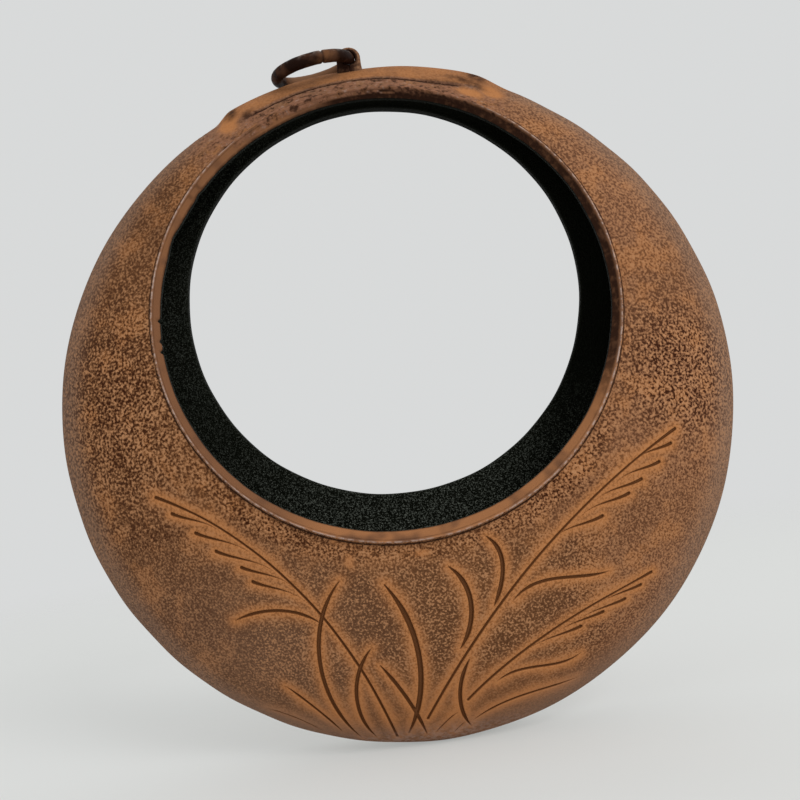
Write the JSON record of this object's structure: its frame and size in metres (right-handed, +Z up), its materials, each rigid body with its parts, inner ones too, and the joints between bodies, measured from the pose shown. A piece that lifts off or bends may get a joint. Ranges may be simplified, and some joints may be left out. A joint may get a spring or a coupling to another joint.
{
  "type": "hanging flower vase",
  "caption": "Round, hollow cast iron moon vase with a large off-centre opening, a domed engraved front, a flat back and a loose ring in an eye at the top to hang it by.",
  "frame": {"origin": "centre of the eye at the top, which the ring swings in and the vase hangs by", "axes": "+Z up, +Y towards the flat back, the domed front faces -Y, +X to the right seen from the front"},
  "size_m": [0.24, 0.0479, 0.2507],
  "materials": {
    "brown_patina": "rust-brown patina with dark grains outside, black lacquer inside",
    "eye_iron": "brown patina, smooth",
    "ring_iron": "dark brown forged iron, worn on top"
  },
  "bodies": {
    "vase": {"front_shell": "brown_patina", "back_shell": "brown_patina", "eye_staple": "eye_iron"},
    "ring": {"hanging_ring": "ring_iron"}
  },
  "joints": [
    {"name": "ring_swing", "type": "hinge", "parent": "vase", "child": "ring", "pos_m": [0, 0, 0], "axis": [0, 0.9903, 0.1392], "range_deg": [0, 194]}
  ]
}
